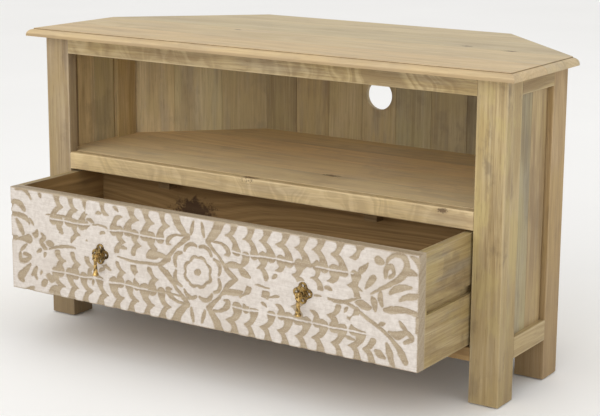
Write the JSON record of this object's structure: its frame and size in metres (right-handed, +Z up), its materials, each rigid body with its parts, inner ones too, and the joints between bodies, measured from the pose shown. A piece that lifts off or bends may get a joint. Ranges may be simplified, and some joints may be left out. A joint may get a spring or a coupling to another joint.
{
  "type": "corner media cabinet",
  "caption": "Six-sided corner media cabinet with a moulded top, an open shelf compartment with a cable hole, and a wide carved drawer on side runners with drop pulls.",
  "frame": {"origin": "on the floor, at the middle of the box round the whole cabinet with its drawer drawn out as shown", "axes": "+X to the right seen from the front, +Y towards the back, +Z up; the front faces -Y"},
  "size_m": [1.05, 0.6598, 0.578],
  "materials": {
    "limed_wood": "bleached and limed solid wood, satin wax",
    "raw_wood": "unfinished brown hardwood inside",
    "carved_front": "carved wood, whitewashed on the raised parts",
    "antique_brass": "antiqued brass",
    "zinc_steel": "zinc-plated screws and nuts",
    "glide_plastic": "hard black nylon"
  },
  "bodies": {
    "cabinet": {"top_panel": "limed_wood", "front_post_left": "limed_wood", "front_post_right": "limed_wood", "front_stile_left": "limed_wood", "front_stile_right": "limed_wood", "side_post_left": "limed_wood", "side_post_right": "limed_wood", "back_leg_left": "raw_wood", "back_leg_right": "raw_wood", "front_top_rail": "limed_wood", "shelf_edge": "limed_wood", "front_base_rail": "raw_wood", "side_top_rail_left": "limed_wood", "side_top_rail_right": "limed_wood", "side_base_rail_left": "limed_wood", "side_base_rail_right": "limed_wood", "corner_top_rail_left": "raw_wood", "corner_top_rail_right": "raw_wood", "corner_base_rail_left": "raw_wood", "corner_base_rail_right": "raw_wood", "back_top_rail": "raw_wood", "back_base_rail": "raw_wood", "side_panel_left": "limed_wood", "side_panel_right": "limed_wood", "corner_panel_left": "limed_wood", "corner_panel_right": "limed_wood", "back_panel": "limed_wood", "shelf_panel": "limed_wood", "shelf_cleats": "raw_wood", "top_cleats": "raw_wood", "drawer_stops": "raw_wood", "drawer_runner_left": "raw_wood", "drawer_runner_right": "raw_wood", "floor_glides": "glide_plastic", "runner_screws": "zinc_steel", "cleat_screws": "zinc_steel", "panel_screws": "zinc_steel"},
    "drawer": {"drawer_front": "carved_front", "drawer_side_left": "limed_wood", "drawer_side_right": "limed_wood", "drawer_back": "raw_wood", "drawer_bottom": "raw_wood", "drawer_dowels": "raw_wood", "pull_plate_left": "antique_brass", "pull_plate_right": "antique_brass", "pull_stud_left": "antique_brass", "pull_stud_right": "antique_brass", "pull_washers": "zinc_steel", "pull_nuts": "zinc_steel"},
    "pendant_left": {"pull_pendant_left": "antique_brass", "pull_pin_left": "antique_brass"},
    "pendant_right": {"pull_pendant_right": "antique_brass", "pull_pin_right": "antique_brass"}
  },
  "joints": [
    {"name": "drawer_slide", "type": "slide", "parent": "cabinet", "child": "drawer", "axis": [0, -1, 0], "range_m": [-0.175, 0.0265]},
    {"name": "pendant_left_swing", "type": "hinge", "parent": "drawer", "child": "pendant_left", "pos_m": [-0.2205, -0.3241, 0.201], "axis": [1, 0, 0], "range_deg": [-100, 14]},
    {"name": "pendant_right_swing", "type": "hinge", "parent": "drawer", "child": "pendant_right", "pos_m": [0.2205, -0.3241, 0.201], "axis": [1, 0, 0], "range_deg": [-100, 14]}
  ]
}
